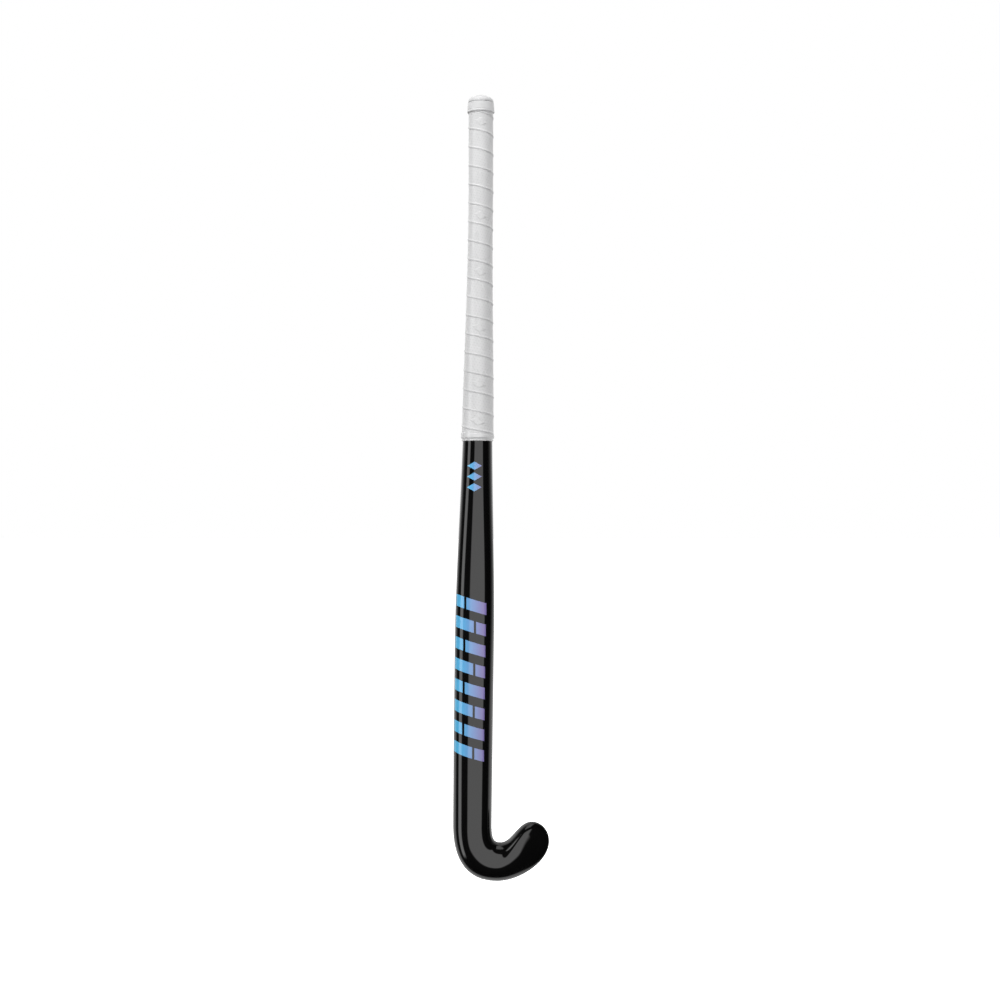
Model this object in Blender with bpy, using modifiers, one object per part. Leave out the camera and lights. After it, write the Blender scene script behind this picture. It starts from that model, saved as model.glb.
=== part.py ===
"""Field hockey stick: a hollow laminated stick with a J-shaped head, its grip and its butt-end fittings.

Frame: metres. The handle's axis is +Z and passes through the origin, where the upper hand holds it.
The toe points along +X, the flat playing face looks along +Y and the rounded back along -Y.

The stick is laid out flat first, as (side, height): side is the distance from the handle's axis towards
the toe, and height is measured along the stick from its lowest point. place() then bends that layout
into the stick's bow.
"""

import math

import bmesh
import bpy
from mathutils import Vector

# ---------------------------------------------------------------- driving dimensions, in metres
LENGTH = 0.927
BUTT_ABOVE_HAND = 0.060
WALL = 0.0022
GAP = 0.0003

# The bow: straight handle, one arc, then a flat head that leans back
BOW_START = 0.360
BOW_END = 0.070
BOW_ANGLE = math.radians(9.3)

# Half-widths, and the two heights between which each flare of the shaft happens
HANDLE_HALF_WIDTH = 0.0129
SHAFT_HALF_WIDTH = 0.0230
GRIP_FLARE = (0.780, 0.500)
SHAFT_FLARE = (0.560, 0.290)
GRIP_FLARE_SHARE = 0.42

# The lower stick's centre line leans to the heel side of the handle's axis
LEAN = 0.0104
LEAN_TOP = 0.820
LEAN_STRAIGHT_SHARE = 0.70

# Section: round at the handle, a flat-faced D with a domed back further down
BACK_RATIO = 0.735
BACK_CHANGE = (0.545, 0.345)
FRONT_DEPTH = 0.005
FRONT_CHANGE = (0.700, 0.400)
BACK_FULLNESS = 2.15

# Head outline as (side, height) Bezier points: heel side and underside, then the hook's inside,
# then the line that the section's middle follows round the hook
HEAD_TOP = 0.070
HEEL_HANDLE = 0.048
UNDERSIDE = ((-0.0144, 0.0), (0.0191, 0.0), (0.0478, 0.0), (0.0809, 0.0236))
TOE_CENTRE = (0.0601, 0.0490)
TOE_RADII = (0.0208, 0.0240)
HOOK_FLOOR = (0.0230, 0.0473)
HOOK_CORNER = ((0.0125, 0.0505), (0.0158, 0.0473))
TOE_SLOPE = ((0.0366, 0.0473), (0.0436, 0.0730))
MIDDLE_TURN = ((-0.0109, 0.0400), (0.0016, 0.0226), (0.0200, 0.0245))
MIDDLE_RISE = ((0.0299, 0.0255), (0.0410, 0.0470), (0.0545, 0.0612))
TOE_TAPER = 0.62
TOE_TAPER_SIDES = (0.0300, 0.0815)
TOE_RIDGE = 0.12
FAN_OUTER = 0.86
FAN_INNER = 0.50

# Mesh density
RING = 24
SHAFT_STEPS = 27
TURN_STEPS = 8
RISE_STEPS = 5
FAN_STEPS = 7
TURNED_STEPS = 32
SHARP_ANGLE = math.radians(35.0)

# Butt end, as heights above the origin
SHELL_TOP = 0.0552
CAP_RADIUS = 0.0149
CAP_SHOULDER = 0.0523
CAP_DISC_RADIUS = 0.0047
CAP_DISC_RISE = 0.0005
CAP_SKIRT_BOTTOM = 0.0460
CAP_SKIRT = 0.0012
CAP_EDGE = 0.0006
CAP_DOME_STEPS = 8
PEG_RADIUS = 0.0040
PEG_BOTTOM = 0.0500
PLUG_BOTTOM = 0.0300
PLUG_TOP_EDGE = 0.0005
PLUG_BOTTOM_EDGE = 0.0010
POCKET_RADIUS = 0.0053
POCKET_BOTTOM = 0.0345
WEIGHT_RADIUS = 0.0050
WEIGHT_LENGTH = 0.0140
WEIGHT_EDGE = 0.0004

# Grip, as heights above the origin and distances outside the shell
GRIP_TOP = 0.0455
GRIP_BOTTOM = -0.3412
WRAP_THICKNESS = 0.00035
GRIP_INNER = 0.00095
GRIP_LOW = 0.0013
GRIP_HIGH = 0.0017
GRIP_FIRST_LAP = 0.0538
GRIP_PITCH = 0.0218
GRIP_STATIONS = 14
COLLAR_TOP = 0.0518
COLLAR_BOTTOM = 0.0398
COLLAR_THICKNESS = 0.0010
COLLAR_EDGE = 0.0005
BAND_TOP = -0.3330
BAND_BOTTOM = -0.3446
BAND_THICKNESS = 0.0005
BAND_EDGE = 0.0015
BAND_FOOT = 0.0013
BAND_LIP = 0.0009
BAND_LIP_HEIGHT = 0.0018

# Inside
TUBE_WALL = 0.0010
TUBE_TOP = 0.0290
TUBE_BOTTOM_HEIGHT = 0.108
TUBE_STATIONS = 16
RIB_HALF_GAP = 0.0002
FOAM_TOP = 0.0270
FOAM_BOTTOM = -0.1500
FOAM_STATIONS = 8
CORE_TOP_HEIGHT = 0.1040
CORE_CLEARANCE = 0.0018
TUBE_CLEARANCE = 0.0004

# Transfer films on the back: heights on the layout, and ring angles from the toe side round the back
LARGE_FILM = (0.347, 0.140)
LARGE_FILM_ANGLES = (3, 11)
SMALL_FILM = (0.503, 0.461)
SMALL_FILM_ANGLES = (5, 9)
FILM_THICKNESS = 0.00015
FILM_ROWS = 8

# ---------------------------------------------------------------- values that follow from them
BASE_Z = BUTT_ABOVE_HAND - LENGTH
BOW_RADIUS = (BOW_START - BOW_END) / BOW_ANGLE
BOW_Z = BASE_Z + BOW_RADIUS * math.sin(BOW_ANGLE) + BOW_END * math.cos(BOW_ANGLE)

collection = bpy.data.collections.new("field_hockey_stick")


def clear_scene():
    """Remove whatever the scene holds."""
    for old in list(bpy.data.objects):
        bpy.data.objects.remove(old, do_unlink=True)


# ---------------------------------------------------------------- the stick's shape
def ease(value, start, end):
    """0 at start, 1 at end, with level ends."""
    t = min(max((value - start) / (end - start), 0.0), 1.0)
    return t * t * (3.0 - 2.0 * t)


def mix(a, b, t):
    return a + (b - a) * t


def height_of(z):
    """The layout height of a level on the straight handle."""
    return BOW_START + z - BOW_Z


def place(side, height, depth):
    """A point of the layout on the bowed stick. depth is positive towards the playing face."""
    if height >= BOW_START:
        angle, y, z = 0.0, 0.0, BOW_Z + height - BOW_START
    elif height >= BOW_END:
        angle = (BOW_START - height) / BOW_RADIUS
        y = BOW_RADIUS * (1.0 - math.cos(angle))
        z = BOW_Z - BOW_RADIUS * math.sin(angle)
    else:
        angle = BOW_ANGLE
        below = BOW_END - height
        y = BOW_RADIUS * (1.0 - math.cos(angle)) + below * math.sin(angle)
        z = BOW_Z - BOW_RADIUS * math.sin(angle) - below * math.cos(angle)
    return Vector((side, y + depth * math.cos(angle), z + depth * math.sin(angle)))


def half_width(height):
    share = GRIP_FLARE_SHARE * ease(height, *GRIP_FLARE)
    share += (1.0 - GRIP_FLARE_SHARE) * ease(height, *SHAFT_FLARE)
    return mix(HANDLE_HALF_WIDTH, SHAFT_HALF_WIDTH, share)


def centre_side(height):
    t = min(max((LEAN_TOP - height) / (LEAN_TOP - HEAD_TOP), 0.0), 1.0)
    return -LEAN * mix(ease(t, 0.0, 1.0), t, LEAN_STRAIGHT_SHARE)


def section_shape(height):
    """Depth to the back and to the front, how flat the front is, and how full the back's curve is."""
    width = half_width(height)
    change = ease(height, *BACK_CHANGE)
    flatness = ease(height, *FRONT_CHANGE)
    back = width * mix(1.0, BACK_RATIO, change)
    return back, mix(width, FRONT_DEPTH, flatness), flatness, mix(2.0, BACK_FULLNESS, change)


def bezier(p0, p1, p2, p3, t):
    a, b, c, d = (1 - t) ** 3, 3 * t * (1 - t) ** 2, 3 * t * t * (1 - t), t**3
    return Vector([a * p0[i] + b * p1[i] + c * p2[i] + d * p3[i] for i in (0, 1)])


def toe_arc(angle):
    return Vector(
        (TOE_CENTRE[0] + TOE_RADII[0] * math.cos(angle), TOE_CENTRE[1] + TOE_RADII[1] * math.sin(angle))
    )


def shaft_station(height):
    """Heel edge, toe-side edge and middle of the shaft at one height, and 0 for how far it is toe."""
    middle = Vector((centre_side(height), height))
    reach = Vector((half_width(height), 0.0))
    return middle - reach, middle + reach, middle, 0.0


def head_stations():
    """Heel and underside point, hook-side point and middle, all the way round to the toe's tip."""
    heel, hook_side, middle, _ = shaft_station(HEAD_TOP)
    slope = Vector((LEAN * LEAN_STRAIGHT_SHARE / (LEAN_TOP - HEAD_TOP), 1.0))
    heel_handle = heel - slope * HEEL_HANDLE
    toe_side = toe_arc(0.0)
    toe_top = toe_arc(math.pi / 2)
    stations = []
    for i in range(1, TURN_STEPS + 1):
        t = i / TURN_STEPS
        outer = bezier(heel, heel_handle, UNDERSIDE[0], UNDERSIDE[1], t)
        inner = bezier(hook_side, HOOK_CORNER[0], HOOK_CORNER[1], HOOK_FLOOR, t)
        stations.append((outer, inner, bezier(middle, *MIDDLE_TURN, t), 0.0))
    for i in range(1, RISE_STEPS + 1):
        t = i / RISE_STEPS
        outer = bezier(UNDERSIDE[1], UNDERSIDE[2], UNDERSIDE[3], toe_side, t * FAN_OUTER)
        inner = bezier(HOOK_FLOOR, TOE_SLOPE[0], TOE_SLOPE[1], toe_top, t * FAN_INNER)
        stations.append((outer, inner, bezier(MIDDLE_TURN[2], *MIDDLE_RISE, t), t))
    return stations + fan_stations(toe_side, toe_top)


def fan_stations(toe_side, toe_top):
    """The toe's end: both edges run on to the tip while the middle stays where it is."""
    middle = Vector(MIDDLE_RISE[2])
    stations = []
    for i in range(1, FAN_STEPS + 1):
        t = i / FAN_STEPS * 2.0
        if t <= 1.0:
            outer = bezier(UNDERSIDE[1], UNDERSIDE[2], UNDERSIDE[3], toe_side, mix(FAN_OUTER, 1.0, t))
            inner = bezier(HOOK_FLOOR, TOE_SLOPE[0], TOE_SLOPE[1], toe_top, mix(FAN_INNER, 1.0, t))
        else:
            outer = toe_arc(mix(0.0, math.pi / 4, t - 1.0))
            inner = toe_arc(mix(math.pi / 2, math.pi / 4, t - 1.0))
        stations.append((outer, inner, middle, 1.0))
    return stations


def section_factors(angle, front_over_width, flatness, fullness):
    """Reach from the middle and depth at a ring angle, both as shares. The back is angles 0 to pi."""
    turn = math.sin(angle)
    reach = math.cos(angle)
    if turn >= 0.0:
        power = 2.0 / fullness
        return math.copysign(abs(reach) ** power, reach), -(turn**power)
    quarter = 1.0 - abs(abs(math.degrees(angle) - 270.0) / 90.0)
    corner = min(quarter * 2.0, 1.0) * math.pi / 2
    flat_reach = 1.0 - front_over_width * (1.0 - math.cos(corner))
    if quarter > 0.5:
        flat_reach = (1.0 - front_over_width) * (1.0 - quarter) * 2.0
    flat_reach = math.copysign(flat_reach, reach)
    return mix(reach, flat_reach, flatness), mix(-turn, math.sin(corner), flatness)


def section_point(station, angle, inset=0.0):
    """A point of the skin, or of the surface inset below it, at one station and ring angle."""
    outer, inner, middle, toe = station
    back, front, flatness, fullness = section_shape(middle.y)
    edge = (inner if math.cos(angle) >= 0.0 else outer) - middle
    width = edge.length - inset
    reach, depth = section_factors(angle, (front - inset) / width, flatness, fullness)
    spot = middle + edge.normalized() * abs(reach) * width
    if depth < 0.0:
        # the toe's back thins out towards its tip and is more ridged than the evenly rounded shaft
        back *= 1.0 - TOE_TAPER * ease(spot.x, *TOE_TAPER_SIDES)
        depth *= (back - inset) * (1.0 - TOE_RIDGE * toe * math.cos(angle) ** 2)
    else:
        depth *= front - inset
    return place(spot.x, spot.y, depth)


def ring_angles():
    return [2.0 * math.pi * k / RING for k in range(RING)]


def spread(start, end, steps):
    """Evenly spaced values, both ends included."""
    return [mix(start, end, i / steps) for i in range(steps + 1)]


# ---------------------------------------------------------------- mesh and object helpers
def material(name, colour, roughness, metallic=0.0):
    made = bpy.data.materials.new(name)
    made.use_nodes = True
    shader = made.node_tree.nodes["Principled BSDF"]
    shader.inputs["Base Color"].default_value = (*colour, 1.0)
    shader.inputs["Roughness"].default_value = roughness
    shader.inputs["Metallic"].default_value = metallic
    return made


def new_object(name, mesh, finish, parent):
    mesh.shade_smooth()
    mesh.set_sharp_from_angle(angle=SHARP_ANGLE)
    mesh.materials.append(finish)
    made = bpy.data.objects.new(name, mesh)
    made.parent = parent
    collection.objects.link(made)
    return made


def lofted_mesh(name, loops, loop_closed=True, first_cap=False, last_cap=False, tube_closed=False):
    """Quads between successive loops of points, with optional flat ends. Coincident points merge."""
    shape = bmesh.new()
    rows = [[shape.verts.new(point) for point in loop] for loop in loops]
    count = len(rows[0])
    for above, below in zip(rows, rows[1:] + (rows[:1] if tube_closed else [])):
        for i in range(count if loop_closed else count - 1):
            j = (i + 1) % count
            shape.faces.new((above[i], below[i], below[j], above[j]))
    if first_cap:
        shape.faces.new(rows[0])
    if last_cap:
        shape.faces.new(rows[-1])
    bmesh.ops.remove_doubles(shape, verts=shape.verts[:], dist=1e-6)
    bmesh.ops.recalc_face_normals(shape, faces=shape.faces[:])
    mesh = bpy.data.meshes.new(name)
    shape.to_mesh(mesh)
    shape.free()
    return mesh


def thicken(target, thickness, offset):
    """Solidify: offset -1 grows inwards and 1 grows outwards."""
    solidify = target.modifiers.new("wall", "SOLIDIFY")
    solidify.thickness = thickness
    solidify.offset = offset
    solidify.use_even_offset = True
    return target


def turned(name, profile, finish, parent, level):
    """A turned piece: profile is (radius, height) down the outside, placed at a level on the axis."""
    mesh = bpy.data.meshes.new(name)
    count = len(profile)
    closed = profile[0][0] > 0.0
    edges = [(i, i + 1) for i in range(count - 1)] + ([(count - 1, 0)] if closed else [])
    mesh.from_pydata([(radius, 0.0, z) for radius, z in profile], edges, [])
    made = new_object(name, mesh, finish, parent)
    made.location.z = level
    screw = made.modifiers.new("turn", "SCREW")
    screw.steps = TURNED_STEPS
    screw.render_steps = TURNED_STEPS
    screw.use_merge_vertices = True
    screw.merge_threshold = 0.00001
    return made


# ---------------------------------------------------------------- the pieces
def make_shell(finish, parent):
    """The moulded laminate: shaft and head in one, open at the butt."""
    heights = spread(height_of(SHELL_TOP), HEAD_TOP, SHAFT_STEPS)
    stations = [shaft_station(h) for h in heights] + head_stations()
    loops = [[section_point(station, a) for a in ring_angles()] for station in stations]
    shell = new_object("composite_shell", lofted_mesh("composite_shell", loops), finish, parent)
    return thicken(shell, WALL, -1.0)


def make_head_core(finish, parent):
    """The light core that fills the hook's hollow, from above the heel to the toe."""
    heights = spread(CORE_TOP_HEIGHT, HEAD_TOP, 2)
    stations = [shaft_station(h) for h in heights] + head_stations()
    inset = WALL + CORE_CLEARANCE
    loops = [[section_point(station, a, inset) for a in ring_angles()] for station in stations]
    new_object("head_core", lofted_mesh("head_core", loops, first_cap=True), finish, parent)


def half_section(height, inset, toe_side):
    """One side's half of the section, closed along the rib plane."""
    station = shaft_station(height)
    rib = station[2].x + (RIB_HALF_GAP + inset - WALL - GAP) * (1.0 if toe_side else -1.0)
    half = RING // 2
    first = -half // 2 if toe_side else half // 2
    angles = [2.0 * math.pi * ((first + k) % RING) / RING for k in range(half + 1)]
    points = [section_point(station, angle, inset) for angle in angles]
    for point in (points[0], points[-1]):
        point.x = rib
    return points


def make_rib_tube(name, toe_side, finish, parent):
    """An inner laminate tube; the two tubes' flat sides make the rib down the shaft."""
    heights = spread(height_of(TUBE_TOP), TUBE_BOTTOM_HEIGHT, TUBE_STATIONS)
    loops = [half_section(h, WALL + TUBE_CLEARANCE, toe_side) for h in heights]
    tube = new_object(name, lofted_mesh(name, loops, last_cap=True), finish, parent)
    thicken(tube, TUBE_WALL, -1.0)


def make_handle_foam(name, toe_side, finish, parent):
    """Damping foam in the top of a rib tube."""
    heights = spread(height_of(FOAM_TOP), height_of(FOAM_BOTTOM), FOAM_STATIONS)
    inset = WALL + TUBE_CLEARANCE + TUBE_WALL + GAP
    loops = [half_section(h, inset, toe_side) for h in heights]
    new_object(name, lofted_mesh(name, loops, first_cap=True, last_cap=True), finish, parent)


def make_butt_plug(finish, parent):
    """Closes the hollow handle; its pocket takes the balance weight and the cap's peg."""
    radius = HANDLE_HALF_WIDTH - WALL - GAP
    depth = SHELL_TOP - PLUG_BOTTOM
    pocket = SHELL_TOP - POCKET_BOTTOM
    profile = [
        (0.0, -pocket),
        (POCKET_RADIUS, -pocket),
        (POCKET_RADIUS, 0.0),
        (radius - PLUG_TOP_EDGE, 0.0),
        (radius, -PLUG_TOP_EDGE),
        (radius, PLUG_BOTTOM_EDGE - depth),
        (radius - PLUG_BOTTOM_EDGE, -depth),
        (0.0, -depth),
    ]
    turned("butt_plug", profile, finish, parent, SHELL_TOP)


def make_balance_weight(finish, parent):
    """A slug in the plug's pocket."""
    mesh = bpy.data.meshes.new("balance_weight")
    shape = bmesh.new()
    bmesh.ops.create_cone(
        shape, cap_ends=True, segments=24, radius1=WEIGHT_RADIUS, radius2=WEIGHT_RADIUS, depth=WEIGHT_LENGTH
    )
    shape.to_mesh(mesh)
    shape.free()
    weight = new_object("balance_weight", mesh, finish, parent)
    weight.location.z = POCKET_BOTTOM + GAP + WEIGHT_LENGTH / 2
    bevel = weight.modifiers.new("edge", "BEVEL")
    bevel.width = WEIGHT_EDGE
    bevel.segments = 1


def make_end_cap(finish, parent):
    """Rubber cap: a flat disc on a domed top, a skirt round the handle and a peg into the plug."""
    inner = HANDLE_HALF_WIDTH + GAP
    skirt = inner + CAP_SKIRT
    rim = CAP_DISC_RADIUS + CAP_EDGE
    shoulder = CAP_SHOULDER - BUTT_ABOVE_HAND
    crown = -CAP_DISC_RISE
    dome = []
    for i in range(1, CAP_DOME_STEPS + 1):
        angle = math.pi / 2 * i / CAP_DOME_STEPS
        across = rim + (CAP_RADIUS - rim) * math.sin(angle)
        dome.append((across, mix(shoulder, crown, math.cos(angle))))
    ceiling = SHELL_TOP + GAP - BUTT_ABOVE_HAND
    skirt_end = CAP_SKIRT_BOTTOM - BUTT_ABOVE_HAND
    peg_end = PEG_BOTTOM - BUTT_ABOVE_HAND
    profile = [(0.0, 0.0), (CAP_DISC_RADIUS, 0.0), (rim, crown), *dome]
    profile += [
        (skirt, shoulder - CAP_EDGE),
        (skirt, skirt_end),
        (inner, skirt_end),
        (inner, ceiling),
        (PEG_RADIUS, ceiling),
        (PEG_RADIUS, peg_end + CAP_EDGE),
        (PEG_RADIUS - CAP_EDGE, peg_end),
        (0.0, peg_end),
    ]
    turned("end_cap", profile, finish, parent, BUTT_ABOVE_HAND)


def make_top_collar(finish, parent):
    """Elastic band over the cap's skirt and the start of the grip tape."""
    over_skirt = HANDLE_HALF_WIDTH + GAP + CAP_SKIRT + GAP
    over_grip = HANDLE_HALF_WIDTH + GRIP_HIGH + GAP
    step = (CAP_SKIRT_BOTTOM + GRIP_TOP) / 2
    profile = [
        (over_skirt + COLLAR_EDGE / 2, COLLAR_TOP),
        (over_skirt + COLLAR_EDGE, COLLAR_TOP - COLLAR_EDGE),
        (over_grip + COLLAR_THICKNESS - COLLAR_EDGE, step + COLLAR_THICKNESS),
        (over_grip + COLLAR_THICKNESS, COLLAR_BOTTOM + 3.0 * COLLAR_THICKNESS),
        (over_grip + COLLAR_THICKNESS, COLLAR_BOTTOM + COLLAR_EDGE),
        (over_grip + COLLAR_EDGE, COLLAR_BOTTOM),
        (over_grip, COLLAR_BOTTOM),
        (over_grip, step),
        (over_skirt, step + COLLAR_THICKNESS),
        (over_skirt, COLLAR_TOP),
    ]
    turned("top_collar", [(radius, z - COLLAR_TOP) for radius, z in profile], finish, parent, COLLAR_TOP)


def make_underwrap(finish, parent):
    """Thin cushioning sleeve between the handle and the grip tape."""
    heights = spread(height_of(GRIP_TOP), height_of(GRIP_BOTTOM), GRIP_STATIONS)
    loops = [[section_point(shaft_station(h), a, -GAP) for a in ring_angles()] for h in heights]
    wrap = new_object("cushion_underwrap", lofted_mesh("cushion_underwrap", loops), finish, parent)
    thicken(wrap, WRAP_THICKNESS, 1.0)


def make_grip_tape(finish, parent):
    """The wound tape: every turn ends in a lap that stands proud of the turn below it."""
    turns = math.ceil((GRIP_FIRST_LAP - GRIP_BOTTOM) / GRIP_PITCH)
    inside = spread(GRIP_BOTTOM, GRIP_TOP, GRIP_STATIONS)
    columns = []
    for k in range(RING + 1):
        angle = 2.0 * math.pi * k / RING
        levels = [(GRIP_TOP, GRIP_LOW)]
        for turn in range(-1, turns + 1):
            z = GRIP_FIRST_LAP - GRIP_PITCH * (turn + 1.0 - k / RING)
            inside_range = GRIP_BOTTOM + 0.0005 < z < GRIP_TOP - 0.0005
            z = min(max(z, GRIP_BOTTOM), GRIP_TOP)
            levels.append((z, GRIP_HIGH if inside_range else GRIP_LOW))
            levels.append((z, GRIP_LOW))
        levels.append((GRIP_BOTTOM, GRIP_LOW))
        levels += [(z, GRIP_INNER) for z in inside]
        columns.append([section_point(shaft_station(height_of(z)), angle, -out) for z, out in levels])
    new_object("grip_tape", lofted_mesh("grip_tape", columns), finish, parent)


def make_finishing_tape(finish, parent):
    """Band that holds the grip tape's lower end down, with a thin lip on the bare shaft."""
    over_grip = GRIP_HIGH + GAP
    end = GRIP_BOTTOM - GAP
    profile = [
        (BAND_TOP, over_grip),
        (BAND_TOP, over_grip + BAND_THICKNESS / 2),
        (BAND_TOP - BAND_EDGE, over_grip + BAND_THICKNESS),
        (end + BAND_EDGE, over_grip + BAND_THICKNESS),
        (end, over_grip + GAP),
        (BAND_BOTTOM + BAND_LIP_HEIGHT + GAP, BAND_FOOT),
        (BAND_BOTTOM + BAND_LIP_HEIGHT, BAND_LIP),
        (BAND_BOTTOM, BAND_LIP),
        (BAND_BOTTOM, GAP),
        (end - GAP / 2, GAP),
        (end, over_grip - BAND_THICKNESS),
        (end + BAND_THICKNESS, over_grip),
    ]
    columns = []
    for angle in ring_angles():
        columns.append([section_point(shaft_station(height_of(z)), angle, -out) for z, out in profile])
    new_object("finishing_tape", lofted_mesh("finishing_tape", columns, tube_closed=True), finish, parent)


def make_film(name, heights, angles, finish, parent):
    """A transfer film that follows the back of the shaft."""
    columns = range(angles[0], angles[1] + 1)
    loops = []
    for height in spread(heights[0], heights[1], FILM_ROWS):
        station = shaft_station(height)
        loops.append([section_point(station, 2.0 * math.pi * k / RING, -GAP) for k in columns])
    film = new_object(name, lofted_mesh(name, loops, loop_closed=False), finish, parent)
    face_out(film.data)
    thicken(film, FILM_THICKNESS, 1.0)


def face_out(mesh):
    """Turn an open sheet so that its faces look to the back of the stick."""
    if sum(polygon.normal.y * polygon.area for polygon in mesh.polygons) > 0.0:
        mesh.flip_normals()


def main():
    clear_scene()
    bpy.context.scene.collection.children.link(collection)
    root = bpy.data.objects.new("stick_frame", None)
    collection.objects.link(root)

    lacquer = material("black_lacquered_laminate", (0.006, 0.006, 0.007), 0.06)
    laminate = material("bare_laminate", (0.02, 0.02, 0.022), 0.45)
    core = material("head_core_foam", (0.78, 0.70, 0.50), 0.9)
    foam = material("handle_foam", (0.85, 0.80, 0.62), 0.95)
    plug = material("plug_plastic", (0.10, 0.10, 0.11), 0.5)
    steel = material("weight_steel", (0.45, 0.45, 0.46), 0.35, 1.0)
    cap = material("cap_rubber", (0.62, 0.62, 0.62), 0.45)
    wrap = material("underwrap_foam", (0.25, 0.25, 0.26), 0.95)
    tape = material("grip_polyurethane", (0.66, 0.66, 0.66), 0.5)
    band = material("band_elastic", (0.68, 0.68, 0.68), 0.5)
    film = material("printed_film", (0.16, 0.38, 0.72), 0.15)

    make_shell(lacquer, root)
    make_head_core(core, root)
    make_rib_tube("rib_tube_heel", False, laminate, root)
    make_rib_tube("rib_tube_toe", True, laminate, root)
    make_handle_foam("handle_foam_heel", False, foam, root)
    make_handle_foam("handle_foam_toe", True, foam, root)
    make_butt_plug(plug, root)
    make_balance_weight(steel, root)
    make_end_cap(cap, root)
    make_underwrap(wrap, root)
    make_grip_tape(tape, root)
    make_top_collar(band, root)
    make_finishing_tape(band, root)
    make_film("graphic_film_large", LARGE_FILM, LARGE_FILM_ANGLES, film, root)
    make_film("graphic_film_small", SMALL_FILM, SMALL_FILM_ANGLES, film, root)


main()
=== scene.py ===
"""Looks of the field hockey stick: fine meshes, materials, studio light and camera.

Frame, as in the CAD: metres, the handle's axis is +Z through the origin, the toe points along +X, the
flat playing face looks along +Y and the rounded back, which the camera sees, along -Y.

The stick's shape is laid out flat as (side, height), with height measured along the stick from its
lowest point, and place() bends that layout into the bow.
"""

import math

import bmesh
import bpy
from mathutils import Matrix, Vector


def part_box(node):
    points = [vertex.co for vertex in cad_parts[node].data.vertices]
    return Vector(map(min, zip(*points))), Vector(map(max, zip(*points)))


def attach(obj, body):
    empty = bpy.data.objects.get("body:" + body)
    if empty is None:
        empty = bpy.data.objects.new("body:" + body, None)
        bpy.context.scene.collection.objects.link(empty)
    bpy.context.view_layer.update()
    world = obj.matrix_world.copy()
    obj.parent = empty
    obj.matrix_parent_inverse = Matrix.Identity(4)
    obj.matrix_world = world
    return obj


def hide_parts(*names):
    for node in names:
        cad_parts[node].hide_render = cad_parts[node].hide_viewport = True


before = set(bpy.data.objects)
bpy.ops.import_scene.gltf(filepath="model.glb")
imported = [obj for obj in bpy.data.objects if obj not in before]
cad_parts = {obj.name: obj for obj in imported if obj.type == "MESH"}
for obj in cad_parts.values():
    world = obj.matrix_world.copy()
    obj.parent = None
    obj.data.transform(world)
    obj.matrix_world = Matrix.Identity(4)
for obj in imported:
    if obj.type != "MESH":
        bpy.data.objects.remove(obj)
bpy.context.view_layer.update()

# ---------------------------------------------------------------- the CAD's shape, in metres
WALL = 0.0022
BOW_START = 0.360
BOW_END = 0.070
BOW_ANGLE = math.radians(9.3)
HANDLE_HALF_WIDTH = 0.0129
SHAFT_HALF_WIDTH = 0.0230
GRIP_FLARE = (0.780, 0.500)
SHAFT_FLARE = (0.560, 0.290)
GRIP_FLARE_SHARE = 0.42
LEAN = 0.0104
LEAN_TOP = 0.820
LEAN_STRAIGHT_SHARE = 0.70
BACK_RATIO = 0.735
BACK_CHANGE = (0.545, 0.345)
FRONT_DEPTH = 0.005
FRONT_CHANGE = (0.700, 0.400)
BACK_FULLNESS = 2.15
HEAD_TOP = 0.070
HEEL_HANDLE = 0.048
UNDERSIDE = ((-0.0144, 0.0), (0.0191, 0.0), (0.0478, 0.0), (0.0809, 0.0236))
TOE_CENTRE = (0.0601, 0.0490)
TOE_RADII = (0.0208, 0.0240)
HOOK_FLOOR = (0.0230, 0.0473)
HOOK_CORNER = ((0.0125, 0.0505), (0.0158, 0.0473))
TOE_SLOPE = ((0.0366, 0.0473), (0.0436, 0.0730))
MIDDLE_TURN = ((-0.0109, 0.0400), (0.0016, 0.0226), (0.0200, 0.0245))
MIDDLE_RISE = ((0.0299, 0.0255), (0.0410, 0.0470), (0.0545, 0.0612))
TOE_TAPER = 0.62
TOE_TAPER_SIDES = (0.0300, 0.0815)
TOE_RIDGE = 0.12
FAN_OUTER = 0.86
FAN_INNER = 0.50

BUTT_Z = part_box("end_cap")[1][2]
BASE_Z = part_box("composite_shell")[0][2]
SHELL_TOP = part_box("composite_shell")[1][2]
GRIP_BOTTOM, GRIP_TOP = (corner[2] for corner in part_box("grip_tape"))
BAND_BOTTOM, BAND_TOP = (corner[2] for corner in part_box("finishing_tape"))
COLLAR_BOTTOM, COLLAR_TOP = (corner[2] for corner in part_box("top_collar"))
BOW_RADIUS = (BOW_START - BOW_END) / BOW_ANGLE
BOW_Z = BASE_Z + BOW_RADIUS * math.sin(BOW_ANGLE) + BOW_END * math.cos(BOW_ANGLE)

# ---------------------------------------------------------------- fine mesh density
RING = 96
SHAFT_STEPS = 260
TURN_STEPS = 44
RISE_STEPS = 26
FAN_STEPS = 40

# ---------------------------------------------------------------- butt end and bands, in metres
GAP = 0.0003
CAP_DISC = 0.0047
CAP_SHOULDER = 0.0077
CAP_SKIRT_WALL = 0.0012
CAP_PEG_RADIUS = 0.0040
CAP_PEG_END = 0.0500
COLLAR_WALL = 0.0010
COLLAR_FOLD = 0.0007
COLLAR_LIP = 0.0022
BAND_THICKNESS = 0.00040
BAND_UPPER_EDGE = 0.0030
BAND_SLANT = 0.0016
BAND_FOOT = 0.0022
BAND_LIP = 0.0014

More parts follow.
